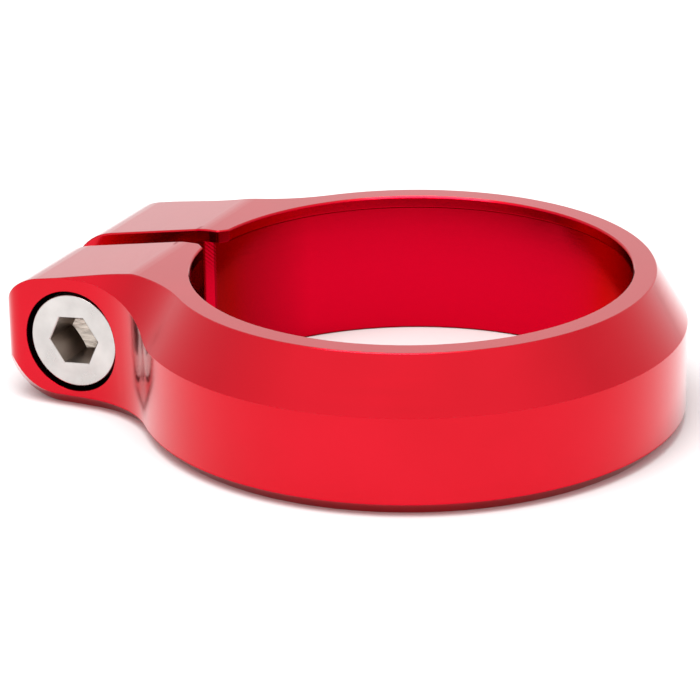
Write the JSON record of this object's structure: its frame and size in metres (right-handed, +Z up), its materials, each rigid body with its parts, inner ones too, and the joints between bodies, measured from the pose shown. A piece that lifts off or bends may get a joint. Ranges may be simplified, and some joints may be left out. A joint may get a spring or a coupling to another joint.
{
  "type": "seatpost clamp",
  "caption": "Split ring collar with a sloped shoulder, an inner lip and two lugs, drawn tight round a bicycle seat tube by a sunk socket head screw.",
  "frame": {"origin": "on the bore's axis, in the plane of the flat underside", "axes": "+Z up the bore towards the lip, lugs towards -X, screw along Y with its head towards -Y"},
  "size_m": [0.0566, 0.046, 0.0128],
  "materials": {
    "red_anodised": "polished red anodising",
    "bolt_steel": "satin stainless steel"
  },
  "bodies": {
    "collar": {"collar": "red_anodised"},
    "bolt": {"clamp_bolt": "bolt_steel"}
  },
  "joints": [
    {"name": "bolt_turn", "type": "hinge", "parent": "collar", "child": "bolt", "pos_m": [-0.02645, 0, 0.00605], "axis": [0, 1, 0], "continuous": true}
  ]
}
